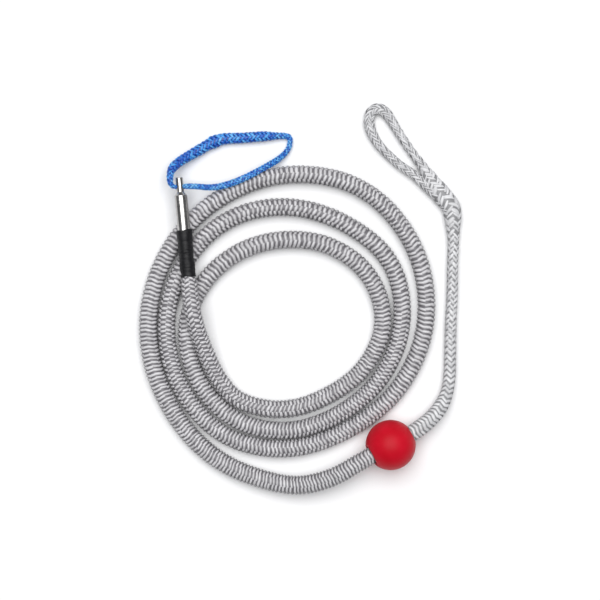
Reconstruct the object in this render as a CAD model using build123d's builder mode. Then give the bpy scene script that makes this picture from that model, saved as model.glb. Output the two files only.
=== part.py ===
"""An elastic tow line that lies coiled on a flat surface.

A braided cover is gathered over a rubber shock cord. At one end it is bound to a steel pin
that carries a pull loop of hollow braid. At the other end it passes through a grab ball, runs
on without its core as a thin tail, and ends in a spliced eye.

Millimetres, +Z up, z = 0 is the surface that the line lies on. The origin is on that surface,
under the middle of the box around the ball, the pin and the pull loop.
"""

import os
from math import cos, pi, radians, sin, sqrt, tan

from build123d import *

os.makedirs("parts", exist_ok=True)

# Driving dimensions: the elastic rope
rope_diameter = 11.2
core_diameter = 7.6
rubber_diameter = 6.4
whipping_thread = 0.3
core_whipping_length = 5.0
rope_lead = 7.0

# Driving dimensions: the thin tail and the spliced eye
tail_start_diameter = 10.4
tail_diameter = 8.0
tail_taper_share = 0.42
eye_diameter = 6.8
throat_width = 14.0
throat_heading = 92.0
buried_tail_diameter = 5.0
throat_taper_length = 8.5
leg_lead = 6.0

# Driving dimensions: the grab ball
ball_diameter = 32.0
ball_mouth_diameter = 15.6
ball_bore_clearance = 0.35
tail_bore_clearance = 0.5
ball_step_clearance = 0.5
core_end_past_centre = 1.0
ball_mouth_round = 1.2
ball_exit_round = 0.8
bore_heading = 28.0
bore_pitch = -7.0
rope_lead_to_ball = 4.0
tail_lead_from_ball = 2.0

# Driving dimensions: the pin, its binding and its sleeve
pin_body_diameter = 8.2
pin_neck_diameter = 4.8
pin_body_length = 24.9
pin_shoulder_length = 2.2
pin_neck_length = 9.4
pin_tip_chamfer = 0.4
pin_under_sleeve = 3.0
barb_diameter = 5.6
barb_root_diameter = 4.8
barb_land = 1.0
barb_slope = 3.2
barb_count = 4
neck_taper_length = 4.0
core_neck_length = 8.0
cover_wall_at_pin = 1.2
core_wall_at_pin = 0.6
pin_whipping_start = 2.0
pin_whipping_length = 22.0
sleeve_wall = 1.0
sleeve_edge_round = 0.4
sleeve_diameter = pin_body_diameter + 2 * sleeve_wall
sleeve_length = 30.0
pin_heading = 95.4

# Driving dimensions: the pull loop
loop_diameter = 3.2
splice_diameter = 6.2
hole_from_tip = 6.0
hole_clearance = 0.2
hole_lead_in = 7.5
hole_lead_out = 4.2
splice_lead = 5.0
splice_end_lead = 7.5

# Places. Everything is set out from the middle of the coil, which stands here in the part's frame.
coil_x = -3.0
coil_y = -14.1
crossing_gap = 0.3
rest_gap = 0.3
floor_z = rope_diameter / 2
over_z = floor_z + rope_diameter + crossing_gap


def at(x, y, z):
    """A point set out from the middle of the coil."""
    return Vector(coil_x + x, coil_y + y, z)


def heading(degrees, pitch=0.0):
    """The unit vector that points this way round from +X, and up by the pitch."""
    level = cos(radians(pitch))
    return Vector(level * cos(radians(degrees)), level * sin(radians(degrees)), sin(radians(pitch)))


def arc_radius(before, corner, after):
    """The radius whose arc takes 0.45 of the shorter of the two runs that meet at the corner."""
    run_in = corner - before
    run_out = after - corner
    turn = run_in.get_angle(run_out)
    return 0.45 * min(run_in.length, run_out.length) / tan(radians(turn / 2))


def tube_path(name, points):
    """Straight runs joined by tangent arcs, with the name, length and radii printed."""
    arcs = [arc_radius(*corner) for corner in zip(points, points[1:], points[2:])]
    path = FilletPolyline(*points, radius=arcs)
    print(name, "length", round(path.length, 1), "radii", [round(arc) for arc in arcs])
    return path


def start_plane(path):
    """The plane across a path at its start."""
    return Plane(origin=path @ 0, z_dir=path % 0)


def report_tube(name, part, path, section_area):
    """Prints the tube's volume beside its section times its length."""
    print(name, "volume", round(part.volume), "expected", round(section_area * path.length))


def ring_area(outer, inner=0.0):
    """The area between two circles, from their diameters."""
    return pi * (outer**2 - inner**2) / 4


def finish(name, part):
    """Labels a finished sub-part and writes it."""
    part.label = name
    export_step(part, f"parts/{name}.step")


# The pin's axis starts at the sleeve's lower end and points to the pin's tip.
# On pin_plane, X is the distance from the axis and Y the distance along it.
pin_z = rope_diameter + sleeve_diameter / 2 + rest_gap
pin_foot = at(-61.9, 28.8, pin_z)
pin_way = heading(pin_heading)
hole_way = heading(pin_heading - 90)
pin_plane = Plane(origin=pin_foot, x_dir=hole_way, z_dir=(0, 0, 1))
pin_axis = Axis(pin_foot, pin_way)
body_start = sleeve_length - pin_under_sleeve
shoulder_start = body_start + pin_body_length
neck_start = shoulder_start + pin_shoulder_length
pin_tip = neck_start + pin_neck_length
hole_place = pin_foot + pin_way * (pin_tip - hole_from_tip)
cover_neck_diameter = barb_diameter + 2 * cover_wall_at_pin
rubber_neck_diameter = barb_diameter - 2 * core_wall_at_pin
binding_diameter = cover_neck_diameter + 2 * whipping_thread

# The bore's axis points from the rope's mouth to the tail's exit.
# On ball_plane, X is the distance from the axis and Y the distance along it.
ball_radius = ball_diameter / 2
ball_centre = at(66.6, -78.1, ball_radius)
bore_way = heading(bore_heading, bore_pitch)
bore_side = heading(bore_heading - 90)
ball_plane = Plane(origin=ball_centre, x_dir=bore_side, z_dir=bore_side.cross(bore_way))
ball_axis = Axis(ball_centre, bore_way)
rope_end = ball_centre + bore_way * core_end_past_centre

# The coil: control radii every 30 degrees, one row for each turn from 180 degrees round.
coil_step = 30.0
coil_start = 240.0
coil_radii = [
    *(60.4, 57.6, 55.3, 60.1, 64.9, 63.1, 57.9, 54.0, 54.9, 59.4),
    *(65.5, 69.4, 72.9, 71.9, 69.6, 72.8, 76.8, 80.2, 75.3, 76.0, 77.8, 77.4),
    *(78.8, 81.5, 85.6, 83.9, 81.3, 86.4, 92.5, 98.3, 102.2, 97.5, 92.2, 90.2),
    *(90.9, 93.6),
]
coil_points = []
for step, radius in enumerate(coil_radii):
    way = heading(coil_start + step * coil_step)
    coil_points.append(at(radius * way.X, radius * way.Y, floor_z))

# The rope's whole route: out of the sleeve, over the end of its own first turn, round the coil,
# and up to the ball.
rope_start = pin_foot - pin_way * neck_taper_length
rope_route = [
    rope_start,
    pin_foot - pin_way * (neck_taper_length + rope_lead),
    at(-59.8, 10.4, over_z + 0.8),
    at(-58.2, 2.0, over_z + 0.3),
    at(-55.7, -7.6, 13.6),
    at(-51.4, -19.0, 10.8),
    at(-44.2, -36.0, 6.8),
    *coil_points,
    at(-49.2, -88.2, floor_z),
    at(0.0, -106.2, 8.4),
    at(28.0, -100.6, 13.8),
    ball_centre - bore_way * (ball_radius + rope_lead_to_ball),
    rope_end,
]

# The tail's route: straight out of the ball, down to the surface and up beside the coil.
throat_start = at(107.0, 62.5, tail_diameter / 2)
tail_lying = tail_diameter / 2
tail_route = [
    rope_end,
    ball_centre + bore_way * (ball_radius + tail_lead_from_ball),
    at(92.6, -61.8, 11.3),
    at(99.4, -53.6, 8.4),
    at(103.3, -44.6, 5.8),
    at(105.0, -34.0, tail_lying + 0.2),
    at(105.2, -18.5, tail_lying),
    at(105.6, 0.5, tail_lying),
    at(106.6, 20.0, tail_lying),
    at(106.6, 36.5, tail_lying),
    at(107.3, 50.5, tail_lying),
    throat_start,
]

# The splice's throat widens out of the tail and ends where the eye's two legs part.
throat_round_end = throat_start + heading(throat_heading) * throat_taper_length
throat_route = [
    throat_round_end,
    at(104.6, 76.0, tail_lying),
    at(98.6, 82.4, tail_lying),
    at(89.5, 92.0, tail_lying),
]
fork = throat_route[-1]
fork_way = (fork - throat_route[-2]).normalized()
leg_side = Vector(fork_way.Y, -fork_way.X, 0)
eye_lying = eye_diameter / 2
leg_offset = leg_side * (throat_width / 4)
eye_route = [
    fork + leg_offset,
    fork + leg_offset + fork_way * leg_lead,
    at(83.4, 105.0, eye_lying),
    at(79.0, 110.9, eye_lying),
    at(72.9, 120.2, eye_lying),
    at(67.6, 128.8, eye_lying),
    at(64.4, 133.9, eye_lying),
    at(60.6, 136.6, eye_lying),
    at(56.2, 136.2, eye_lying),
    at(53.2, 132.0, eye_lying),
    at(53.2, 125.6, eye_lying),
    at(55.8, 118.9, eye_lying),
    at(60.6, 111.8, eye_lying),
    at(67.4, 105.2, eye_lying),
    at(75.2, 98.6, eye_lying),
    fork - leg_offset + fork_way * leg_lead,
    fork - leg_offset,
]

# The pull loop's route: the single cord leans on the coil's shoulder, goes through the pin's
# hole and turns up beside its neck; the doubled part lies on the surface and climbs back.
splice_low = splice_diameter / 2
cord_low = loop_diameter / 2
splice_start = at(-73.6, 93.4, 15.0)
splice_start_way = heading(86, -22)
splice_end = at(-9.0, 119.2, splice_low + 0.1)
splice_end_way = heading(2, -4)
loop_cord_route = [
    splice_end,
    splice_end + splice_end_way * splice_lead,
    at(1.4, 117.9, cord_low + 0.5),
    at(2.6, 114.4, cord_low + 0.8),
    at(0.6, 110.6, cord_low + 1.4),
    at(-5.2, 106.4, 4.6),
    at(-14.4, 101.0, 8.2),
    at(-24.6, 95.2, 10.8),
    at(-36.0, 90.0, 12.2),
    at(-47.6, 86.9, 13.8),
    hole_place + hole_way * hole_lead_in,
    hole_place - hole_way * hole_lead_out,
    splice_start - splice_start_way * splice_lead,
    splice_start,
]
loop_splice_route = [
    splice_start,
    splice_start + splice_start_way * splice_lead,
    at(-65.6, 104.2, 8.4),
    at(-57.6, 108.9, 5.0),
    at(-49.0, 114.2, splice_low + 0.5),
    at(-41.0, 117.6, splice_low),
    at(-28.6, 117.8, splice_low),
    splice_end - splice_end_way * splice_end_lead,
    splice_end,
]

rope_path = tube_path("rope", rope_route)
tail_path = tube_path("tail", tail_route)
throat_path = tube_path("throat", throat_route)
eye_path = tube_path("eye", eye_route)
loop_cord_path = tube_path("loop cord", loop_cord_route)
loop_splice_path = tube_path("loop splice", loop_splice_route)


def necked_profile(outer, inner, neck_outer, neck_inner, neck_end):
    """A rope layer's outline where it is squeezed from its full size down into the sleeve."""
    outline = [
        (inner / 2, -neck_taper_length),
        (outer / 2, -neck_taper_length),
        (neck_outer / 2, 0),
        (neck_outer / 2, neck_end),
        (neck_inner / 2, neck_end),
        (neck_inner / 2, 0),
    ]
    Polyline(*outline, close=True)


# The braided cover, gathered over the core
with BuildPart() as cover_braid:
    with BuildSketch(start_plane(rope_path)):
        Circle(rope_diameter / 2)
        Circle(core_diameter / 2, mode=Mode.SUBTRACT)
    sweep(path=rope_path)
    with BuildSketch(pin_plane):
        with BuildLine():
            necked_profile(
                rope_diameter, core_diameter, cover_neck_diameter, barb_diameter, body_start
            )
        make_face()
    revolve(axis=pin_axis)
report_tube("cover_braid", cover_braid.part, rope_path, ring_area(rope_diameter, core_diameter))
finish("cover_braid", cover_braid.part)

# The shock cord's own textile jacket
with BuildPart() as core_jacket:
    with BuildSketch(start_plane(rope_path)):
        Circle(core_diameter / 2)
        Circle(rubber_diameter / 2, mode=Mode.SUBTRACT)
    sweep(path=rope_path)
    with BuildSketch(pin_plane):
        with BuildLine():
            necked_profile(
                core_diameter, rubber_diameter, barb_diameter, rubber_neck_diameter,
                core_neck_length,
            )
        make_face()
    revolve(axis=pin_axis)
report_tube("core_jacket", core_jacket.part, rope_path, ring_area(core_diameter, rubber_diameter))
finish("core_jacket", core_jacket.part)

# The rubber inside the shock cord
with BuildPart() as rubber_core:
    with BuildSketch(start_plane(rope_path)):
        Circle(rubber_diameter / 2)
    sweep(path=rope_path)
    with BuildSketch(pin_plane):
        with BuildLine():
            Polyline(
                (0, -neck_taper_length),
                (rubber_diameter / 2, -neck_taper_length),
                (rubber_neck_diameter / 2, 0),
                (rubber_neck_diameter / 2, core_neck_length),
                (0, core_neck_length),
                close=True,
            )
        make_face()
    revolve(axis=pin_axis)
report_tube("rubber_core", rubber_core.part, rope_path, ring_area(rubber_diameter))
finish("rubber_core", rubber_core.part)

# The thread that binds the core's end inside the ball
with BuildPart() as core_end_whipping:
    with BuildSketch(ball_plane):
        with Locations(
            (
                (rope_diameter + whipping_thread) / 2,
                core_end_past_centre - core_whipping_length / 2,
            )
        ):
            Rectangle(whipping_thread, core_whipping_length)
    revolve(axis=ball_axis)
finish("core_end_whipping", core_end_whipping.part)

# The same braid, run on without its core: full at the ball, then drawn down to the thin tail
tail_sizes = ((0, tail_start_diameter), (tail_taper_share, tail_diameter), (1, tail_diameter))
with BuildPart() as tail_braid:
    for share, size in tail_sizes:
        with BuildSketch(Plane(origin=tail_path @ share, z_dir=tail_path % share)):
            Circle(size / 2)
    sweep(path=tail_path, multisection=True)
print("tail_braid volume", round(tail_braid.part.volume))
finish("tail_braid", tail_braid.part)

# The splice's throat: the braid swollen over its own buried end
with BuildPart() as splice_throat:
    with BuildSketch(Plane(origin=tail_path @ 1, z_dir=tail_path % 1)):
        Circle(tail_diameter / 2)
    with BuildSketch(Plane(origin=throat_path @ 0, x_dir=(1, 0, 0), z_dir=throat_path % 0)):
        Ellipse(throat_width / 2, tail_diameter / 2)
    loft()
    with BuildSketch(Plane(origin=throat_path @ 0, x_dir=(1, 0, 0), z_dir=throat_path % 0)):
        Ellipse(throat_width / 2, tail_diameter / 2)
        Circle(buried_tail_diameter / 2, mode=Mode.SUBTRACT)
    sweep(path=throat_path)
finish("splice_throat", splice_throat.part)

# The braid's end, buried inside the throat
with BuildPart() as eye_buried_end:
    with BuildSketch(start_plane(throat_path)):
        Circle(buried_tail_diameter / 2)
    sweep(path=throat_path)
finish("eye_buried_end", eye_buried_end.part)

# The eye
with BuildPart() as eye_braid:
    with BuildSketch(start_plane(eye_path)):
        Circle(eye_diameter / 2)
    sweep(path=eye_path)
report_tube("eye_braid", eye_braid.part, eye_path, ring_area(eye_diameter))
finish("eye_braid", eye_braid.part)

# The grab ball: a wide bore for the rope, a step, and a narrow bore for the tail
rope_bore_radius = rope_diameter / 2 + whipping_thread + ball_bore_clearance
tail_bore_radius = tail_start_diameter / 2 + tail_bore_clearance
mouth_y = -sqrt(ball_radius**2 - (ball_mouth_diameter / 2) ** 2)
exit_y = sqrt(ball_radius**2 - tail_bore_radius**2)
step_y = core_end_past_centre + ball_step_clearance
with BuildPart() as grab_ball:
    with BuildSketch(ball_plane):
        with BuildLine():
            outside = ThreePointArc(
                (ball_mouth_diameter / 2, mouth_y), (ball_radius, 0), (tail_bore_radius, exit_y)
            )
            Polyline(
                outside @ 1,
                (tail_bore_radius, step_y),
                (rope_bore_radius, step_y),
                (rope_bore_radius, mouth_y),
                outside @ 0,
            )
        make_face()
    revolve(axis=ball_axis)
    mouth_edges = grab_ball.edges().filter_by(GeomType.CIRCLE)
    fillet(
        [edge for edge in mouth_edges if abs(edge.radius - rope_bore_radius) < 0.01
         and (edge.arc_center - ball_centre).dot(bore_way) < 0],
        radius=ball_mouth_round,
    )
    exit_edges = grab_ball.edges().filter_by(GeomType.CIRCLE)
    fillet(
        [edge for edge in exit_edges if abs(edge.radius - tail_bore_radius) < 0.01
         and (edge.arc_center - ball_centre).dot(bore_way) > exit_y - 0.01],
        radius=ball_exit_round,
    )
finish("grab_ball", grab_ball.part)

# The pin: a barbed shank inside the rope's end, the body, and a neck with a cross hole
barb_pitch = (body_start - core_neck_length) / barb_count
with BuildPart() as tow_pin:
    with BuildSketch(pin_plane):
        with BuildLine():
            shank = [(0, core_neck_length)]
            for barb in range(barb_count):
                foot = core_neck_length + barb * barb_pitch
                shank.append((barb_root_diameter / 2, foot))
                shank.append((barb_diameter / 2, foot + barb_slope))
                shank.append((barb_diameter / 2, foot + barb_slope + barb_land))
                shank.append((barb_root_diameter / 2, foot + barb_slope + barb_land))
            Polyline(
                *shank,
                (barb_root_diameter / 2, body_start),
                (pin_body_diameter / 2, body_start),
                (pin_body_diameter / 2, shoulder_start),
                (pin_neck_diameter / 2, neck_start),
                (pin_neck_diameter / 2, pin_tip - pin_tip_chamfer),
                (pin_neck_diameter / 2 - pin_tip_chamfer, pin_tip),
                (0, pin_tip),
                close=True,
            )
        make_face()
    revolve(axis=pin_axis)
    with BuildSketch(Plane(origin=hole_place, z_dir=hole_way)):
        Circle(loop_diameter / 2 + hole_clearance)
    extrude(amount=pin_neck_diameter, both=True, mode=Mode.SUBTRACT)
finish("tow_pin", tow_pin.part)

# The thread that binds the cover to the pin's shank and to the core's end
with BuildPart() as pin_whipping:
    with BuildSketch(pin_plane):
        with Locations(
            (
                (cover_neck_diameter + whipping_thread) / 2,
                pin_whipping_start + pin_whipping_length / 2,
            )
        ):
            Rectangle(whipping_thread, pin_whipping_length)
    revolve(axis=pin_axis)
finish("pin_whipping", pin_whipping.part)

# The heat-shrink sleeve over the binding
with BuildPart() as heat_shrink_sleeve:
    with BuildSketch(pin_plane):
        with BuildLine():
            Polyline(
                (binding_diameter / 2, 0),
                (sleeve_diameter / 2, 0),
                (sleeve_diameter / 2, sleeve_length),
                (pin_body_diameter / 2, sleeve_length),
                (pin_body_diameter / 2, body_start),
                (binding_diameter / 2, body_start),
                close=True,
            )
        make_face()
    revolve(axis=pin_axis)
    outer_edges = heat_shrink_sleeve.edges().filter_by(GeomType.CIRCLE)
    fillet(
        [edge for edge in outer_edges if abs(edge.radius - sleeve_diameter / 2) < 0.01],
        radius=sleeve_edge_round,
    )
finish("heat_shrink_sleeve", heat_shrink_sleeve.part)

# The pull loop's single cord
with BuildPart() as pull_loop_cord:
    with BuildSketch(start_plane(loop_cord_path)):
        Circle(loop_diameter / 2)
    sweep(path=loop_cord_path)
report_tube("pull_loop_cord", pull_loop_cord.part, loop_cord_path, ring_area(loop_diameter))
finish("pull_loop_cord", pull_loop_cord.part)

# The pull loop's doubled part: the braid swollen over its own buried end
with BuildPart() as pull_loop_splice:
    with BuildSketch(start_plane(loop_splice_path)):
        Circle(splice_diameter / 2)
        Circle(loop_diameter / 2, mode=Mode.SUBTRACT)
    sweep(path=loop_splice_path)
finish("pull_loop_splice", pull_loop_splice.part)

# The loop cord's end, buried inside the doubled part
with BuildPart() as pull_loop_buried_end:
    with BuildSketch(start_plane(loop_splice_path)):
        Circle(loop_diameter / 2)
    sweep(path=loop_splice_path)
finish("pull_loop_buried_end", pull_loop_buried_end.part)
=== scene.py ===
"""Visual model of an elastic tow line: a braided bungee with a pin, a grab ball, an eye and a pull loop.

Lengths are in metres, in the frame of the CAD model. Routes are written in millimetres and scaled once.
"""

from math import cos, pi, radians, sin

import bpy
import numpy as np
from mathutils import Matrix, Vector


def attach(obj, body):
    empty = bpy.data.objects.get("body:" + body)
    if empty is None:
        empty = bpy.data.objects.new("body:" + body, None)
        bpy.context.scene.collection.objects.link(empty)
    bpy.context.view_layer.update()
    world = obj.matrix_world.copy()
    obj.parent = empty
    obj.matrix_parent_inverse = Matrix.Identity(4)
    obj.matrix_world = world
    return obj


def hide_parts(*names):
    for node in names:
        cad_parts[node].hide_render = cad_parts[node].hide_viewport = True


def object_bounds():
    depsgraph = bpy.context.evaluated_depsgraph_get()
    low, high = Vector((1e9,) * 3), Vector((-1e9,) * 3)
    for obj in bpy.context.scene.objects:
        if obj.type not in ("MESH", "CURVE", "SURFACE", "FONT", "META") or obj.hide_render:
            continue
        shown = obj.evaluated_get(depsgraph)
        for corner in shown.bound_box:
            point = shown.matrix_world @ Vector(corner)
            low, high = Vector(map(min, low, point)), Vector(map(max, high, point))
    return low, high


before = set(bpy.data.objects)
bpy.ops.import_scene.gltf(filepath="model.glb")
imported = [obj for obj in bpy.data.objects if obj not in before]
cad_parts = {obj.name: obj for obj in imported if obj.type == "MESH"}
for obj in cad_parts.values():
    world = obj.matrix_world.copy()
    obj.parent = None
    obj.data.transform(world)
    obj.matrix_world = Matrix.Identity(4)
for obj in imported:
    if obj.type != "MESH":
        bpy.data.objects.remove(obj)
cad_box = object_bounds()

MM = 0.001
rng = np.random.default_rng(7)

# ---------------------------------------------------------------- places shared with the CAD model
COIL = (-3.0, -14.1)
FLOOR_Z = 5.6
OVER_Z = 17.1


def at(x, y, z):
    """A point set out from the middle of the coil, in metres."""
    return np.array((COIL[0] + x, COIL[1] + y, z)) * MM


def heading(degrees, pitch=0.0):
    """The unit vector that points this way round from +X, and up by the pitch."""
    level = cos(radians(pitch))
    return np.array((level * cos(radians(degrees)), level * sin(radians(degrees)), sin(radians(pitch))))


pin_foot = at(-61.9, 28.8, 16.6)
pin_way = heading(95.4)
hole_way = heading(5.4)
hole_place = pin_foot + pin_way * 57.5 * MM
ball_centre = at(66.6, -78.1, 16.0)
bore_way = heading(28.0, -7.0)
rope_end = ball_centre + bore_way * 1.0 * MM
SLEEVE_LENGTH = 30.0 * MM
SLEEVE_RADIUS = 5.1 * MM

# ---------------------------------------------------------------- camera
centre = np.array([(low + high) / 2 for low, high in zip(*cad_box)])
CAMERA_HEIGHT = 1.6
VIEW_WIDTH = 0.384
camera = bpy.data.cameras.new("camera")
camera.sensor_width = 36.0
camera.lens = camera.sensor_width * (CAMERA_HEIGHT - FLOOR_Z * MM) / VIEW_WIDTH
camera.clip_start = 0.01
camera.clip_end = 100.0
camera_object = bpy.data.objects.new("camera", camera)
camera_object.location = (centre[0] - 0.6 * MM, centre[1] - 0.75 * MM, CAMERA_HEIGHT)
bpy.context.collection.objects.link(camera_object)
bpy.context.scene.camera = camera_object

# ---------------------------------------------------------------- routes
COIL_RADII = [
    *(60.4, 57.6, 55.3, 60.1, 64.9, 63.1, 57.9, 54.0, 54.9, 59.4),
    *(65.5, 69.4, 72.9, 71.9, 69.6, 72.8, 76.8, 80.2, 75.3, 76.0, 77.8, 77.4),
    *(78.8, 81.5, 85.6, 83.9, 81.3, 86.4, 92.5, 98.3, 102.2, 97.5, 92.2, 90.2),
    *(90.9, 93.6),
]
coil_points = []
for step, radius in enumerate(COIL_RADII):
    way = heading(240.0 + 30.0 * step)
    coil_points.append(at(radius * way[0], radius * way[1], FLOOR_Z))

rope_route = [
    pin_foot + pin_way * 6 * MM,
    pin_foot - pin_way * 11 * MM,
    at(-59.8, 10.4, OVER_Z + 0.8),
    at(-58.2, 2.0, OVER_Z + 0.3),
    at(-55.7, -7.6, 13.6),
    at(-51.4, -19.0, 10.8),
    at(-44.2, -36.0, 6.8),
    *coil_points,
    at(-49.2, -88.2, 5.6),
    at(0.0, -106.2, 8.4),
    at(28.0, -100.6, 13.8),
    ball_centre - bore_way * 20 * MM,
    rope_end,
]
fork_way = np.array((-9.1, 9.6, 0.0))
fork_way /= np.linalg.norm(fork_way)
fork = at(89.5, 92.0, 4.0)
leg_offset = np.array((fork_way[1], -fork_way[0], 0.0)) * 3.5 * MM
tail_route = [
    rope_end,
    ball_centre + bore_way * 18 * MM,
    at(92.6, -61.8, 11.3),
    at(99.4, -53.6, 8.4),
    at(103.3, -44.6, 5.8),
    at(105.0, -34.0, 4.2),
    at(105.2, -18.5, 4.0),
    at(105.6, 0.5, 4.0),
    at(106.6, 20.0, 4.0),
    at(106.6, 36.5, 4.0),
    at(107.3, 50.5, 4.0),
    at(107.0, 62.5, 4.0),
    at(106.7, 71.0, 4.0),
    at(104.6, 76.0, 4.0),
    at(98.6, 82.4, 4.0),
    fork + leg_offset + fork_way * 6 * MM,
    at(83.4, 105.0, 3.4),
    at(79.0, 110.9, 3.4),
    at(72.9, 120.2, 3.4),
    at(67.6, 128.8, 3.4),
    at(64.4, 133.9, 3.4),
    at(60.6, 136.6, 3.4),
    at(56.2, 136.2, 3.4),
    at(53.2, 132.0, 3.4),
    at(53.2, 125.6, 3.4),
    at(55.8, 118.9, 3.4),
    at(60.6, 111.8, 3.4),
    at(67.4, 105.2, 3.4),
    at(75.2, 98.6, 3.4),
    fork - leg_offset + fork_way * 6 * MM,
    fork - leg_offset - fork_way * 5 * MM,
    fork - leg_offset * 0.8 - fork_way * 14 * MM,
]
splice_start = at(-73.6, 93.4, 15.0)
splice_start_way = heading(86, -22)
splice_end = at(-9.0, 119.2, 3.2)
splice_end_way = heading(2, -4)
loop_route = [
    hole_place,
    hole_place + hole_way * 7.5 * MM,
    at(-46.9, 85.3, 14.0),
    at(-35.4, 88.0, 13.0),
    at(-23.8, 93.0, 12.6),
    at(-13.4, 98.7, 11.2),
    at(-4.2, 104.4, 5.6),
    at(1.0, 109.6, 3.0),
    at(2.8, 114.6, 2.4),
    at(2.3, 119.2, 2.2),
    splice_end + splice_end_way * 5 * MM,
    splice_end - splice_end_way * 7.5 * MM,
    at(-28.6, 117.8, 3.1),
    at(-41.0, 117.6, 3.1),
    at(-49.0, 114.2, 3.6),
    at(-57.6, 108.9, 5.0),
    at(-65.6, 104.2, 8.4),
    splice_start + splice_start_way * 5 * MM,
    splice_start - splice_start_way * 5 * MM,
    hole_place - hole_way * 4.2 * MM,
    hole_place,
]


def spline_points(name, route):
    """The points of the smooth NURBS spline that has the route's points as its control points."""
    curve = bpy.data.curves.new(name, "CURVE")
    curve.dimensions = "3D"
    spline = curve.splines.new("NURBS")
    spline.points.add(len(route) - 1)
    for point, place in zip(spline.points, route):
        point.co = (*place, 1.0)
    spline.order_u = 3
    spline.use_endpoint_u = True
    spline.resolution_u = 24
    holder = bpy.data.objects.new(name, curve)
    mesh = bpy.data.meshes.new_from_object(holder)
    points = np.array([v.co for v in mesh.vertices])
    bpy.data.objects.remove(holder)
    bpy.data.curves.remove(curve)
    bpy.data.meshes.remove(mesh)
    return points


class Line:
    """A centreline that gives its place, side and up at any distance along it."""

    def __init__(self, points):
        self.points = points
        steps = np.linalg.norm(np.diff(points, axis=0), axis=1)
        self.along = np.concatenate([[0.0], np.cumsum(steps)])
        self.length = self.along[-1]
        way = np.gradient(points, self.along, axis=0)
        self.way = way / np.linalg.norm(way, axis=1, keepdims=True)

    def where(self, place):
        """How far along the line it passes nearest to the place."""
        return self.along[np.linalg.norm(self.points - place, axis=1).argmin()]

    def read(self, s):
        """Place, side and up at the distances s."""
        place = np.stack([np.interp(s, self.along, self.points[:, k]) for k in range(3)], axis=-1)
        way = np.stack([np.interp(s, self.along, self.way[:, k]) for k in range(3)], axis=-1)
        way /= np.linalg.norm(way, axis=-1, keepdims=True)
        side = np.cross(way, (0.0, 0.0, 1.0))
        side /= np.linalg.norm(side, axis=-1, keepdims=True)
        return place, side, np.cross(side, way)


rope_line = Line(spline_points("rope", rope_route))
tail_line = Line(spline_points("tail", tail_route))
loop_line = Line(spline_points("loop", loop_route))


def stations(*pairs):
    """A smooth function through (distance, value) pairs, level at each pair."""
    at_s, values = (np.array(column, float) for column in zip(*pairs))

    def read(s):
        s = np.asarray(s, float)
        i = np.clip(np.searchsorted(at_s, s) - 1, 0, len(at_s) - 2)
        t = np.clip((s - at_s[i]) / (at_s[i + 1] - at_s[i]), 0, 1)
        return values[i] + (values[i + 1] - values[i]) * t * t * (3 - 2 * t)

    return read


def level(value):
    """A function that gives the same value everywhere."""
    return lambda s: np.full(np.shape(s), float(value))


def wander(span, amount, start=0.0):
    """A slow random function of the distance along a line."""
    waves = [(rng.uniform(0.6, 1.8), rng.uniform(0, 2 * pi)) for _ in range(4)]

    def read(s):
        total = sum(np.sin(2 * pi * rate * np.asarray(s) / span + phase) for rate, phase in waves)
        return start + amount * total / 2

    return read


def mesh_object(name, vertices, faces, attributes=()):
    """A smooth-shaded mesh object from arrays, with its point attributes as (name, vectors) pairs."""
    mesh = bpy.data.meshes.new(name)
    mesh.from_pydata([tuple(v) for v in vertices], [], [tuple(f) for f in faces])
    mesh.validate()
    for attribute, values in attributes:
        layer = mesh.attributes.new(attribute, "FLOAT_VECTOR", "POINT")
        layer.data.foreach_set("vector", np.asarray(values, np.float32).ravel())
    mesh.polygons.foreach_set("use_smooth", [True] * len(mesh.polygons))
    mesh.update()
    thing = bpy.data.objects.new(name, mesh)
    bpy.context.collection.objects.link(thing)
    return thing


def tube(line, first, last, wide, high, rings, around):
    """Vertices and faces of a closed tube along the line."""
    s = np.linspace(first, last, rings)
    place, side, up = line.read(s)
    turn = np.arange(around) * 2 * pi / around
    a, b = wide(s)[:, None, None], high(s)[:, None, None]
    ring = (
        place[:, None, :]
        + a * np.cos(turn)[None, :, None] * side[:, None, :]
        + b * np.sin(turn)[None, :, None] * up[:, None, :]
    )
    vertices = np.concatenate([ring.reshape(-1, 3), place[[0, -1]]])
    i, j = np.meshgrid(np.arange(rings - 1), np.arange(around), indexing="ij")
    k = (j + 1) % around
    faces = np.stack([i * around + j, i * around + k, (i + 1) * around + k, (i + 1) * around + j], axis=-1)
    faces = [tuple(face) for face in faces.reshape(-1, 4)]
    start, end = rings * around, rings * around + 1
    last_ring = (rings - 1) * around
    for j in range(around):
        k = (j + 1) % around
        faces.append((start, k, j))
        faces.append((end, last_ring + j, last_ring + k))
    return vertices, faces


BEHIND_MARK = 2.0  # the place across that marks the inner tube; a float's own runs from -1 to 1
# how a float of yarn is shaped, as shares of its relief, width or length
TUBE_DEPTH = 0.88  # how far the closed inner tube lies below the crests, in reliefs
END_TAPER, WOVEN_TAPER = 0.06, 0.30  # how much a float narrows to its ends, plain and when woven under
END_SAG, WOVEN_SAG = 0.22, 0.40  # how far its ends go down, plain and when woven under
LEAST_WIDTH = 0.1
BULGE = 0.94  # how round a float is across; 1 would be a full half circle
LIFT_SHARE = 0.6
ANGLE_JITTER, PLACE_JITTER = 0.5, 0.6


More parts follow.
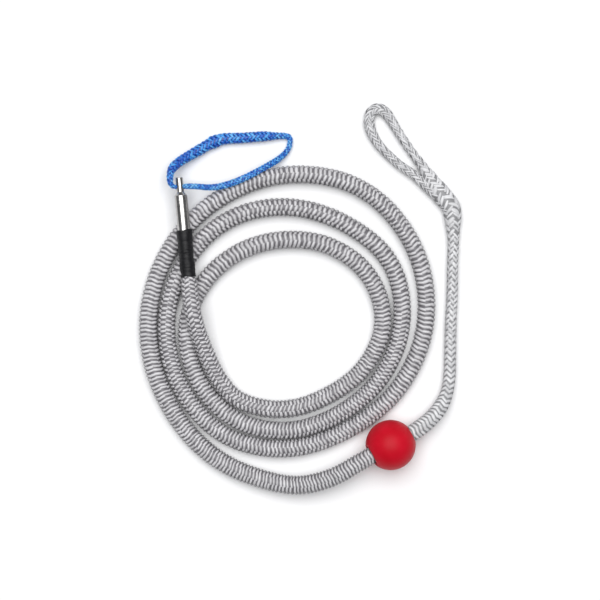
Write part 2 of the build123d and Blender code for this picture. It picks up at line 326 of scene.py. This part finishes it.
def braid(name, line, first, last, wide, high, pitch, twist, columns, relief, slope, tilt, stagger, along=7,
          across=5, reach=1.28, cover=level(0.80), crown=0.75, jitter=level(0.05), paler=level(0.0)):
    """A braided sleeve along the line: every float of every yarn is a raised patch over a closed inner tube.

    In each of the columns round the sleeve the floats slant the same way, and the other way in the next.
    The stagger is how far the next column's floats lie on, as a share of the pitch: at a half, each float's
    ends go under between its neighbours' floats; near zero, the floats bunch up into ribs round the sleeve.
    """
    s_grid = np.linspace(first, last, 4000)
    phase = np.concatenate([[0.0], np.cumsum(np.diff(s_grid) / pitch((s_grid[1:] + s_grid[:-1]) / 2))])
    total = phase[-1]
    column, ring = np.meshgrid(np.arange(columns), np.arange(int(total) + 1), indexing="ij")
    column, ring = column.ravel(), ring.ravel()
    centre_phase = ring + 0.25
    centre_phase = centre_phase + (column % 2) * stagger(np.interp(centre_phase, phase, s_grid))
    kept = (centre_phase > 0.3) & (centre_phase < total - 0.3)
    column, centre_phase = column[kept], centre_phase[kept]
    count = len(column)
    slant = np.where(column % 2 == 0, 1.0, -1.0)
    s_mid = np.interp(centre_phase, phase, s_grid)
    gap = pitch(s_mid)
    mean = (wide(s_mid) + high(s_mid)) / 2
    woven = 2 * stagger(s_mid)[:, None]
    half_turn = pi / columns
    loose = jitter(s_mid)
    angle = column * 2 * half_turn + twist(s_mid) + rng.normal(0, ANGLE_JITTER, count) * loose * half_turn
    centre_phase = centre_phase + rng.normal(0, PLACE_JITTER, count) * loose
    width_factor = cover(s_mid) * np.maximum(0.6, 1 + rng.normal(0, 1.0, count) * loose)
    lift = rng.normal(0, 1.0, count) * loose
    shade = rng.random(count) + paler(s_mid)

    run_s = 0.5 * gap * slant * slope(s_mid)
    run_a = half_turn * mean
    run = np.hypot(run_s, run_a)
    half_width = 0.5 * gap * run_a / run

    u, v = np.meshgrid(np.linspace(-1, 1, along), np.linspace(-1, 1, across), indexing="ij")
    u, v = u.ravel(), v.ravel()
    x = u * reach
    width = np.maximum(LEAST_WIDTH, 1 - (END_TAPER + WOVEN_TAPER * woven) * x**2)
    offset = width_factor[:, None] * half_width[:, None] * v * width
    ds = x[None, :] * run_s[:, None] + offset * (run_a / run)[:, None]
    da = x[None, :] * run_a[:, None] - offset * (run_s / run)[:, None]
    turn = angle[:, None] + da / mean[:, None]
    lean = tilt(s_mid)[:, None] * mean[:, None] * np.cos(turn)
    s = np.interp(centre_phase[:, None] + (ds + lean) / gap[:, None], phase, s_grid)
    sag = (END_SAG + WOVEN_SAG * woven) * x**2
    round_off = 1 - np.sqrt(np.maximum(0.0, 1 - BULGE * v**2))
    raised = lift[:, None] * LIFT_SHARE * (1 - np.abs(u))
    depth = relief * (sag - raised + crown * round_off * (0.5 + 0.5 * width))
    place, side, up = line.read(s)
    shrink = 1 - np.maximum(depth, 0.0) / mean[:, None]
    a, b = wide(s) * shrink, high(s) * shrink
    vertices = place + (a * np.cos(turn))[..., None] * side + (b * np.sin(turn))[..., None] * up
    vertices = vertices.reshape(-1, 3)
    i, j = np.meshgrid(np.arange(along - 1), np.arange(across - 1), indexing="ij")
    i, j = i.ravel(), j.ravel()
    near, far = i * across + j, (i + 1) * across + j
    quad = np.stack([far, far + 1, near + 1, near], axis=-1)
    base = (np.arange(count) * along * across)[:, None, None]
    faces = (base + quad[None]).reshape(-1, 4)
    length_mm = x[None, :] * run[:, None] / MM
    parts = [np.broadcast_to(part, offset.shape) for part in (length_mm, v, shade[:, None])]
    yarn = np.stack(parts, axis=-1).reshape(-1, 3)

    def tube_wide(s):
        return wide(s) - relief * TUBE_DEPTH

    def tube_high(s):
        return high(s) - relief * TUBE_DEPTH

    rings = max(8, int(total) + 1)
    core_vertices, core_faces = tube(line, first, last, tube_wide, tube_high, rings, columns)
    # the inner tube carries the behind mark, so the yarn material paints it in its dark colour, as painted
    # shade between the floats
    core_yarn = np.zeros((len(core_vertices), 3))
    core_yarn[:, 1] = BEHIND_MARK
    # how far up each point faces; the yarn material paints shade low on the sides with it, and none on the
    # inner tube
    upper = np.stack([np.sin(turn), 0 * turn, 0 * turn], axis=-1).reshape(-1, 3)
    upper = np.concatenate([upper, np.ones((len(core_vertices), 3))])
    core_faces = [tuple(len(vertices) + k for k in face) for face in core_faces]
    all_vertices = np.concatenate([vertices, core_vertices])
    all_faces = [tuple(face) for face in faces] + core_faces
    yarn = np.concatenate([yarn, core_yarn])
    return mesh_object(name, all_vertices, all_faces, [("yarn", yarn), ("upper", upper)])


# ---------------------------------------------------------------- material helpers
def material(name):
    """A new material with its node tree and its Principled shader."""
    made = bpy.data.materials.new(name)
    made.use_nodes = True
    return made, made.node_tree, made.node_tree.nodes["Principled BSDF"]


def node(tree, kind, **values):
    """A new node, with its properties set by name and its inputs by position."""
    inputs = values.pop("inputs", {})
    made = tree.nodes.new(kind)
    for key, value in values.items():
        setattr(made, key, value)
    for key, value in inputs.items():
        if isinstance(value, bpy.types.NodeSocket):
            tree.links.new(value, made.inputs[key])
        else:
            made.inputs[key].default_value = value
    return made


def maths(tree, operation, *values):
    """The result of a math node on numbers or sockets."""
    return node(tree, "ShaderNodeMath", operation=operation, inputs=dict(enumerate(values))).outputs[0]


def ramp(tree, factor, *stops):
    """A colour ramp; each stop is a place and a colour."""
    made = node(tree, "ShaderNodeValToRGB", inputs={0: factor})
    elements = made.color_ramp.elements
    while len(elements) < len(stops):
        elements.new(0.5)
    for element, (place, colour) in zip(elements, stops):
        element.position = place
        element.color = (*colour, 1.0)
    return made.outputs[0]


def noise(tree, place, scale, detail):
    """The value of a noise texture over the piece's own coordinates."""
    made = node(tree, "ShaderNodeTexNoise", inputs={
        "Vector": place.outputs["Object"], "Scale": scale, "Detail": detail})
    return made.outputs["Fac"]


def roughen(tree, shader, value, smooth, rough):
    """Let the roughness run between two values with the texture."""
    spread = node(tree, "ShaderNodeMapRange", inputs={0: value, 3: smooth, 4: rough})
    tree.links.new(spread.outputs[0], shader.inputs["Roughness"])


def emboss(tree, shader, height, strength, distance):
    """Give the surface a fine relief, its depth in metres."""
    bump = node(tree, "ShaderNodeBump", inputs={"Strength": strength, "Distance": distance, "Height": height})
    tree.links.new(bump.outputs[0], shader.inputs["Normal"])


def yarn_material(name, pale, deep, hollow_shade, roughness, glint=None, side_shade=0.0, variety=0.25):
    """A bundle of bright filaments, with painted shade at its edges where it goes under, and a closed tube
    behind it painted in a dark shade colour.

    Low on its sides the sleeve is darker by a painted shade, standing in for the shade where it turns down
    towards the ground.
    """
    made, tree, shader = material(name)
    attribute = node(tree, "ShaderNodeAttribute", attribute_name="yarn")
    parts = node(tree, "ShaderNodeSeparateXYZ", inputs={0: attribute.outputs["Vector"]})
    along, across, shade = parts.outputs
    off_centre = maths(tree, "ABSOLUTE", across)
    strand = node(tree, "ShaderNodeCombineXYZ", inputs={
        0: maths(tree, "MULTIPLY", along, 0.35),
        1: maths(tree, "MULTIPLY", across, 4.5),
        2: maths(tree, "MULTIPLY", shade, 61.0),
    })
    grain = node(tree, "ShaderNodeTexNoise", inputs={
        "Vector": strand.outputs[0], "Scale": 1.0, "Detail": 3.0, "Roughness": 0.6})
    fibre = grain.outputs["Fac"]
    by_fibre, by_yarn = maths(tree, "MULTIPLY", fibre, 1 - variety), maths(tree, "MULTIPLY", shade, variety)
    tone = maths(tree, "ADD", by_fibre, by_yarn)
    stops = [(0.28, deep), (0.62, pale)]
    if glint:
        stops = [(0.32, deep), (0.52, pale), (0.76, glint)]
    colour = ramp(tree, tone, *stops)
    # painted shade: each float darkens towards its edges, where it goes under its neighbours
    edge = maths(tree, "POWER", maths(tree, "MINIMUM", off_centre, 1.0), 3.0)
    # painted shade: the inner tube behind the floats takes the dark shade colour
    behind = maths(tree, "GREATER_THAN", off_centre, 1.5)
    # painted shade: darker low on the sides, by how far each point faces up
    facing = node(tree, "ShaderNodeAttribute", attribute_name="upper")
    height = node(tree, "ShaderNodeSeparateXYZ", inputs={0: facing.outputs["Vector"]}).outputs[0]
    low = node(tree, "ShaderNodeMapRange", inputs={0: height, 1: 0.74, 2: 0.30, 3: 0.0, 4: side_shade}).outputs[0]
    painted_shade_mask = maths(tree, "MAXIMUM", maths(tree, "MULTIPLY", edge, 0.55), behind)
    painted_shade_mask = maths(tree, "MAXIMUM", painted_shade_mask, low)
    mixed = node(tree, "ShaderNodeMix", data_type="RGBA", inputs={0: painted_shade_mask, 6: colour, 7: (*hollow_shade, 1.0)})
    tree.links.new(mixed.outputs[2], shader.inputs["Base Color"])
    roughen(tree, shader, fibre, roughness + 0.1, roughness - 0.08)
    emboss(tree, shader, fibre, strength=0.55, distance=0.12 * MM)
    shader.inputs["Specular IOR Level"].default_value = 0.5
    shader.inputs["Sheen Weight"].default_value = 0.12
    shader.inputs["Sheen Roughness"].default_value = 0.4
    return made


# each yarn's darkest colour is the painted shade of its inner tube between the floats; the grey yarns also
# take a painted shade low on their sides
grey_yarn = yarn_material(
    "grey_yarn", pale=(0.73, 0.72, 0.74), deep=(0.46, 0.45, 0.465), hollow_shade=(0.165, 0.158, 0.172),
    roughness=0.42, side_shade=0.72,
)
light_yarn = yarn_material(
    "light_yarn", pale=(0.80, 0.80, 0.815), deep=(0.49, 0.49, 0.505), hollow_shade=(0.27, 0.27, 0.28),
    roughness=0.42, side_shade=0.42,
)
blue_yarn = yarn_material(
    "blue_yarn", pale=(0.028, 0.28, 0.80), deep=(0.004, 0.085, 0.50), hollow_shade=(0.002, 0.03, 0.26),
    roughness=0.30, glint=(0.22, 0.60, 0.90), variety=0.36,
)

# ---------------------------------------------------------------- the rope
rope_first, rope_last = 0.0, rope_line.length
sleeve_foot = rope_line.where(pin_foot)
rope_wide = stations(
    (rope_first, 3.95 * MM), (sleeve_foot, 4.3 * MM), (sleeve_foot + 5 * MM, 5.6 * MM), (0.12, 5.9 * MM),
    (rope_last - 0.28, 5.9 * MM), (rope_last - 0.20, 6.15 * MM), (rope_last - 0.06, 6.15 * MM),
    (rope_last - 0.024, 5.8 * MM), (rope_last - 0.016, 5.7 * MM), (rope_last, 5.0 * MM),
)
rope_high = stations(
    (rope_first, 3.95 * MM), (sleeve_foot, 4.3 * MM), (sleeve_foot + 5 * MM, 5.55 * MM),
    (rope_last - 0.006, 5.65 * MM), (rope_last, 5.0 * MM),
)
bunching = stations((0.0, 0.15), (0.10, 0.25), (0.18, -0.05), (0.60, 0.05), (1.10, 0.05), (rope_last, -0.25))


MEAN_PITCH, NORTH_PITCH = 2.79, 0.26  # in millimetres; the second is what the coil's top adds


def rope_pitch(s):
    """The ribs lie wider apart at the coil's top than at its bottom."""
    place = rope_line.read(s)[0][..., :2] - at(0, 0, 0)[:2]
    north = place[..., 1] / np.linalg.norm(place, axis=-1)
    return (MEAN_PITCH + NORTH_PITCH * north + bunching(s)) * MM


rope_slope = stations((0.0, 0.55), (0.08, 0.48), (0.18, 0.26), (0.60, 0.22), (1.20, 0.25), (rope_last, 0.20))
drift = wander(0.22, 0.14, start=0.10)
staggered = stations(
    (0.0, 0.40), (0.07, 0.34), (0.17, 0.06), (0.50, 0.08), (0.62, 0.20), (0.95, 0.20), (1.05, 0.02),
    (1.40, 0.0), (rope_last, 0.10),
)


def rope_stagger(s):
    """How far each column of floats lies on from the last; it drifts along the rope."""
    return np.clip(drift(s) + staggered(s), 0.03, 0.5)


rope = braid("tow_rope", rope_line, rope_first, rope_last, rope_wide, rope_high, rope_pitch,
             wander(0.5, 0.26, start=5 * pi / 8), 8, 0.88 * MM, rope_slope, wander(0.25, 0.09), rope_stagger,
             along=6, reach=1.12, cover=level(0.65), crown=0.9, jitter=level(0.09))
rope.data.materials.append(grey_yarn)
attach(rope, "line")
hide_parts("cover_braid", "core_jacket", "rubber_core")

# ---------------------------------------------------------------- the tail and the eye
ball_exit = tail_line.where(ball_centre + bore_way * 15 * MM)
throat = tail_line.where(at(107.0, 62.5, 4.0))
throat_full = tail_line.where(at(105.6, 74.5, 4.0))
fork_at = tail_line.where(fork + leg_offset)
tip_at = tail_line.where(at(58.5, 136.4, 3.4))
left_at = tail_line.where(at(53.2, 129.0, 3.4))
tail_end = tail_line.length
tail_wide = stations(
    (0.0, 5.0 * MM), (ball_exit - 3 * MM, 5.2 * MM),
    (ball_exit + 4 * MM, 5.6 * MM), (ball_exit + 20 * MM, 5.2 * MM),
    (ball_exit + 42 * MM, 4.15 * MM), (throat - 45 * MM, 3.8 * MM), (throat - 14 * MM, 3.75 * MM),
    (throat_full, 6.3 * MM), (fork_at - 13 * MM, 6.6 * MM),
    (fork_at - 3 * MM, 4.9 * MM), (fork_at + 7 * MM, 3.3 * MM),
    (fork_at + 16 * MM, 2.9 * MM), (tip_at - 20 * MM, 3.0 * MM), (tip_at, 3.9 * MM), (left_at, 3.6 * MM),
    (left_at + 22 * MM, 3.0 * MM), (tail_end, 3.2 * MM),
)
tail_high = stations(
    (0.0, 5.0 * MM), (ball_exit - 3 * MM, 5.2 * MM),
    (ball_exit + 6 * MM, 5.0 * MM), (ball_exit + 42 * MM, 4.1 * MM),
    (throat - 14 * MM, 3.9 * MM), (throat_full, 3.95 * MM),
    (fork_at + 8 * MM, 3.4 * MM), (tail_end, 3.4 * MM),
)
tail_pitch = stations(
    (0.0, 2.4 * MM), (ball_exit + 18 * MM, 2.7 * MM), (ball_exit + 50 * MM, 3.6 * MM), (throat, 3.9 * MM),
    (fork_at, 3.3 * MM), (tip_at - 20 * MM, 3.4 * MM), (tip_at, 3.0 * MM), (left_at + 30 * MM, 3.3 * MM),
    (tail_end, 3.3 * MM),
)
tail_slope = stations(
    (0.0, 0.35), (ball_exit + 22 * MM, 0.45), (ball_exit + 50 * MM, 0.7), (throat, 0.85), (fork_at, 1.0),
    (fork_at + 15 * MM, 1.35), (tail_end, 1.2),
)
tail_loose = stations((0.0, 0.09), (throat - 15 * MM, 0.09), (throat_full, 0.28), (tail_end, 0.20))
tail_cover = stations((0.0, 0.62), (ball_exit + 30 * MM, 0.66), (ball_exit + 70 * MM, 0.80), (tail_end, 0.76))
tail_scallop = stations(
    (fork_at, 0.0), (fork_at + 8 * MM, 0.30 * MM), (tip_at - 25 * MM, 0.25 * MM), (tip_at - 12 * MM, 0.0),
)
SCALLOP_PITCH = 5.3 * MM


def tail_edge(s):
    """The tail's half-width, with a gently scalloped edge on the eye."""
    return tail_wide(s) + tail_scallop(s) * np.cos(2 * pi * s / SCALLOP_PITCH)


tail_stagger = stations(
    (0.0, 0.10), (ball_exit + 30 * MM, 0.08), (ball_exit + 75 * MM, 0.40), (tail_end, 0.5),
)
tail = braid("tail_and_eye", tail_line, 0.0, tail_end, tail_edge, tail_high, tail_pitch,
             wander(0.25, 0.25, start=pi / 2), 8, 0.46 * MM, tail_slope, level(0.0), tail_stagger,
             along=8, cover=tail_cover, jitter=tail_loose)
tail.data.materials.append(light_yarn)
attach(tail, "line")
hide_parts("tail_braid", "splice_throat", "eye_buried_end", "eye_braid")

# ---------------------------------------------------------------- the pull loop
loop_end = loop_line.length
right_tip = loop_line.where(at(2.6, 114.4, 2.4))
bulge = loop_line.where(at(-47.0, 115.6, 3.3))
corner = loop_line.where(splice_start + splice_start_way * 5 * MM)
loop_wide = stations(
    (0.0, 1.5 * MM), (6 * MM, 2.0 * MM), (0.4 * right_tip, 2.3 * MM), (0.8 * right_tip, 2.2 * MM),
    (right_tip, 1.85 * MM), (right_tip + 9 * MM, 2.2 * MM), (right_tip + 22 * MM, 3.4 * MM),
    (bulge - 14 * MM, 3.6 * MM), (bulge - 5 * MM, 3.9 * MM), (bulge, 4.4 * MM),
    (bulge + 3.5 * MM, 3.7 * MM), (corner - 3 * MM, 3.3 * MM),
    (corner + 5 * MM, 2.4 * MM), (loop_end - 3 * MM, 1.6 * MM), (loop_end, 1.5 * MM),
)
loop_high = stations(
    (0.0, 1.5 * MM), (8 * MM, 1.6 * MM), (right_tip, 1.6 * MM), (right_tip + 22 * MM, 2.9 * MM),
    (bulge, 3.1 * MM), (corner, 2.7 * MM), (loop_end - 3 * MM, 1.6 * MM), (loop_end, 1.5 * MM),
)
loop_pitch = stations(
    (0.0, 2.1 * MM), (right_tip, 2.1 * MM), (right_tip + 25 * MM, 2.6 * MM),
    (bulge, 2.8 * MM), (loop_end, 2.4 * MM),
)
loop_paler = stations(
    (0.0, 0.06), (10 * MM, 0.18), (28 * MM, 0.06), (right_tip, 0.0), (bulge, -0.15), (loop_end, -0.08),
)
loop = braid("pull_loop", loop_line, 0.0, loop_end, loop_wide, loop_high, loop_pitch,
             wander(0.12, 0.5, start=0.2), 8, 0.46 * MM, level(0.8), level(0.0), level(0.5),
             jitter=level(0.14), paler=loop_paler)
loop.data.materials.append(blue_yarn)
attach(loop, "pull_loop")
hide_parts("pull_loop_cord", "pull_loop_splice", "pull_loop_buried_end")

# ---------------------------------------------------------------- the heat-shrink sleeve
# in millimetres along and off the sleeve: how far in or out, where, and how wide
SLEEVE_WAISTS = ((-0.42, 2.6, 2.4), (-0.30, 12.5, 3.6), (-0.34, 22.0, 2.6), (0.18, 28.8, 1.2))
SLEEVE_LEAST, SLEEVE_MOST = 4.48, 5.25
FOOT_LIP, TIP_LIP = 4.35, 4.15  # the radii of the two open ends' inner edges
INNER_FOOT, INNER_TIP = 3.0, 26.0  # where the inner wall's two rings lie along the sleeve
CREASES = 16


def sleeve_radius(turn, share, d):
    """The shrunk sleeve's radius in millimetres: waists, slanted creases, the thread's turns and lumps."""
    waist = sum(depth * np.exp(-((d - middle) / width) ** 2) for depth, middle, width in SLEEVE_WAISTS)
    creases = np.zeros_like(d)
    for _ in range(CREASES):
        middle, width, depth = rng.uniform(1.0, 29.0), rng.uniform(0.4, 1.0), rng.uniform(0.10, 0.34)
        slant, facing, spread = rng.normal(0, 0.9), rng.uniform(0, 2 * pi), rng.uniform(0.8, 2.2)
        reach = np.exp(-((np.angle(np.exp(1j * (turn - facing)))) / spread) ** 2)
        creases -= depth * reach * np.exp(-((d - middle - slant * np.cos(turn - facing)) / width) ** 2)
    threads = 0.035 * np.sin(2 * pi * d / 0.62) * np.exp(-((d - 12.5) / 11.0) ** 4)
    lumps = 0.08 * np.sin(3 * turn + 0.35 * d) * np.sin(0.55 * d + 1.0)
    rounded = 0.45 * np.maximum(0, 1 - np.minimum(share, 1 - share) * 45) ** 2
    radius = SLEEVE_RADIUS / MM + waist + creases + threads + lumps - 0.02 - rounded
    return np.clip(radius, SLEEVE_LEAST, SLEEVE_MOST)


def shrunk_sleeve():
    """A closed tube shrunk over the binding, with two ragged lips and an inner wall."""
    around, rings = 120, 220
    turn, share = np.meshgrid(np.arange(around) * 2 * pi / around, np.linspace(0, 1, rings), indexing="xy")
    d = share * SLEEVE_LENGTH / MM
    ragged = 0.35 * np.sin(2 * turn + 0.7) + 0.18 * np.sin(5 * turn + 2.1)
    d = d + ragged * np.where(share > 0.5, 1.0, -0.8) * np.abs(2 * share - 1) ** 6
    outer = sleeve_radius(turn, share, d)

    def ring(radius):
        return np.full((1, around), radius)

    foot, tip = d[:1] + 0.8, d[-1:] - 0.6
    axial = np.concatenate([ring(INNER_FOOT), foot, d, tip, ring(INNER_TIP)])
    profile = np.concatenate([ring(FOOT_LIP), ring(FOOT_LIP), outer, ring(TIP_LIP), ring(TIP_LIP)])
    up = np.array((0.0, 0.0, 1.0))
    angle = np.broadcast_to(turn[:1], profile.shape)
    spoke = np.cos(angle)[..., None] * hole_way + np.sin(angle)[..., None] * up
    vertices = pin_foot + axial[..., None] * MM * pin_way + profile[..., None] * MM * spoke
    count = len(profile)
    i, j = np.meshgrid(np.arange(count), np.arange(around), indexing="ij")
    k, n = (j + 1) % around, (i + 1) % count
    faces = np.stack([i * around + j, n * around + j, n * around + k, i * around + k], axis=-1).reshape(-1, 4)
    return mesh_object("sleeve_shrunk", vertices.reshape(-1, 3), faces)


sleeve = shrunk_sleeve()
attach(sleeve, "line")
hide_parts("heat_shrink_sleeve")

# ---------------------------------------------------------------- plastic, steel, sleeve and thread
red, tree, shader = material("red_plastic_satin")
place = node(tree, "ShaderNodeTexCoord")
mottle = noise(tree, place, 120.0, 4.0)
colour = ramp(tree, mottle, (0.3, (0.51, 0.0033, 0.014)), (0.7, (0.575, 0.0048, 0.020)))
tree.links.new(colour, shader.inputs["Base Color"])
pores = noise(tree, place, 2600.0, 3.0)
roughen(tree, shader, mottle, 0.40, 0.50)
emboss(tree, shader, pores, strength=0.25, distance=0.06 * MM)
shader.inputs["Specular IOR Level"].default_value = 0.14

steel, tree, shader = material("turned_steel")
place = node(tree, "ShaderNodeTexCoord")
shader.inputs["Metallic"].default_value = 1.0
cloud = noise(tree, place, 260.0, 5.0)
colour = ramp(tree, cloud, (0.3, (0.40, 0.39, 0.385)), (0.7, (0.52, 0.51, 0.50)))
tree.links.new(colour, shader.inputs["Base Color"])
roughen(tree, shader, cloud, 0.20, 0.30)

black, tree, shader = material("shrink_tube_black")
place = node(tree, "ShaderNodeTexCoord")
cloud = noise(tree, place, 900.0, 4.0)
colour = ramp(tree, cloud, (0.3, (0.006, 0.006, 0.007)), (0.7, (0.014, 0.014, 0.016)))
tree.links.new(colour, shader.inputs["Base Color"])
roughen(tree, shader, cloud, 0.34, 0.56)
shader.inputs["Specular IOR Level"].default_value = 0.24
emboss(tree, shader, cloud, strength=0.4, distance=0.15 * MM)

thread, tree, shader = material("waxed_thread")
place = node(tree, "ShaderNodeTexCoord")
cloud = noise(tree, place, 1800.0, 4.0)
colour = ramp(tree, cloud, (0.3, (0.30, 0.29, 0.27)), (0.7, (0.52, 0.50, 0.47)))
tree.links.new(colour, shader.inputs["Base Color"])
shader.inputs["Roughness"].default_value = 0.7

sleeve.data.materials.append(black)
for name, finish in (
    ("grab_ball", red), ("tow_pin", steel), ("pin_whipping", thread), ("core_end_whipping", thread),
):
    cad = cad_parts[name]
    if not cad.data.materials:
        cad.data.materials.append(finish)
    for slot in cad.material_slots:
        slot.link = "OBJECT"
        slot.material = finish

# ---------------------------------------------------------------- floor and light
FLOOR_REACH = 30.0
floor_mesh = bpy.data.meshes.new("floor")
corners = [(x * FLOOR_REACH, y * FLOOR_REACH, 0) for x, y in ((-1, -1), (1, -1), (1, 1), (-1, 1))]
floor_mesh.from_pydata(corners, [], [(0, 1, 2, 3)])
floor = bpy.data.objects.new("floor", floor_mesh)
bpy.context.collection.objects.link(floor)
floor.location.z = -0.02 * MM
paper, tree, shader = material("floor_paper")
place = node(tree, "ShaderNodeTexCoord")
cloud = noise(tree, place, 3.0, 2.0)
colour = ramp(tree, cloud, (0.3, (0.925, 0.925, 0.93)), (0.7, (0.94, 0.94, 0.945)))
tree.links.new(colour, shader.inputs["Base Color"])
shader.inputs["Roughness"].default_value = 0.85
shader.inputs["Specular IOR Level"].default_value = 0.2
floor_mesh.materials.append(paper)

lamp = bpy.data.lights.new("softbox", "AREA")
lamp.shape = "SQUARE"
lamp.size = 6.0
lamp.energy = 480.0
lamp_object = bpy.data.objects.new("softbox", lamp)
lamp_object.location = (-0.1, 1.3, 5.9)
lamp_object.rotation_euler = (-0.22, 0.0, 0.0)
bpy.context.collection.objects.link(lamp_object)

world = bpy.data.worlds.new("studio")
bpy.context.scene.world = world
world.use_nodes = True
tree = world.node_tree
background = tree.nodes["Background"]
background.inputs["Color"].default_value = (0.80, 0.82, 0.85, 1.0)
background.inputs["Strength"].default_value = 0.18
bpy.context.scene.view_settings.view_transform = "Standard"
